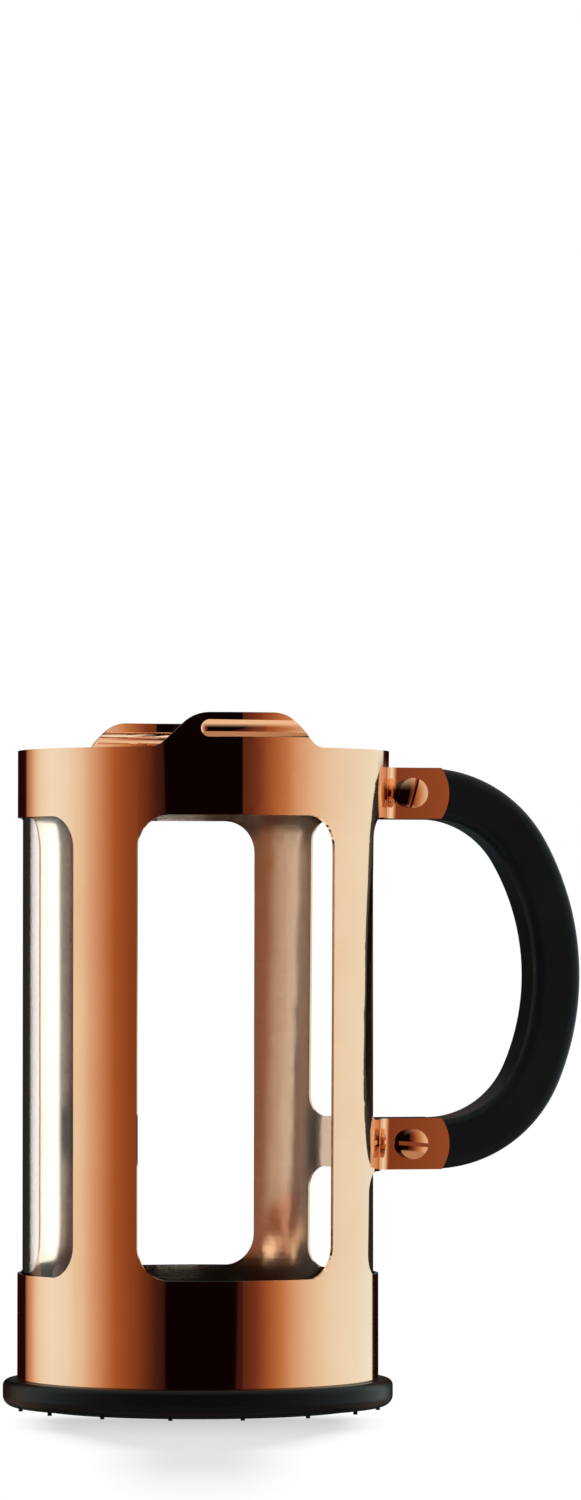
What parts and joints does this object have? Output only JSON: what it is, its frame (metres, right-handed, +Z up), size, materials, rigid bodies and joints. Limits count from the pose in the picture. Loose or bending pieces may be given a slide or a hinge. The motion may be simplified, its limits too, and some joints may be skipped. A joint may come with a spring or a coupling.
{
  "type": "french press",
  "caption": "French press with a windowed sheet-metal frame, clamped loop handle, glass beaker, and a domed lid on a sliding plunger with a mesh filter.",
  "frame": {"origin": "centre of the base's flat rest face, on the press's axis", "axes": "+X towards the handle, +Z up"},
  "size_m": [0.2726, 0.108, 0.2169],
  "materials": {
    "copper_plate": "copper-plated steel sheet, polished outside and satin inside",
    "black_plastic": "black moulded plastic with a fine satin texture",
    "glass": "clear borosilicate glass, fire-polished rim",
    "brushed_steel": "stainless steel",
    "steel_mesh": "fine woven stainless wire cloth",
    "brass": "turned brass"
  },
  "bodies": {
    "frame": {"frame_shell": "copper_plate", "base": "black_plastic", "handle_grip": "black_plastic", "handle_screw_upper": "copper_plate", "handle_screw_lower": "copper_plate", "handle_sleeve_upper": "copper_plate", "handle_sleeve_lower": "copper_plate"},
    "beaker": {"glass_beaker": "glass"},
    "plunger": {"plunger_rod": "brushed_steel", "knob": "black_plastic", "knob_insert": "brass", "rod_collar": "brushed_steel", "spiral_plate": "brushed_steel", "edge_spring": "brushed_steel", "filter_mesh": "steel_mesh", "cross_plate": "brushed_steel", "cross_hub": "brushed_steel"},
    "bush": {"lid_bush": "brushed_steel", "bush_clip": "brushed_steel"},
    "lid": {"lid_dome": "copper_plate", "lid_liner": "black_plastic"}
  },
  "joints": [
    {"name": "beaker_lift", "type": "slide", "parent": "frame", "child": "beaker", "axis": [0, 0, 1], "range_m": [0, 0.19]},
    {"name": "plunger_lift", "type": "slide", "parent": "frame", "child": "plunger", "axis": [0, 0, 1], "range_m": [0, 0.2]},
    {"name": "lid_slide", "type": "slide", "parent": "plunger", "child": "bush", "axis": [0, 0, 1], "range_m": [0, 0.1286]},
    {"name": "lid_turn", "type": "hinge", "parent": "bush", "child": "lid", "pos_m": [-0.1148, 0, 0.04], "axis": [0, 0, 1], "continuous": true}
  ]
}
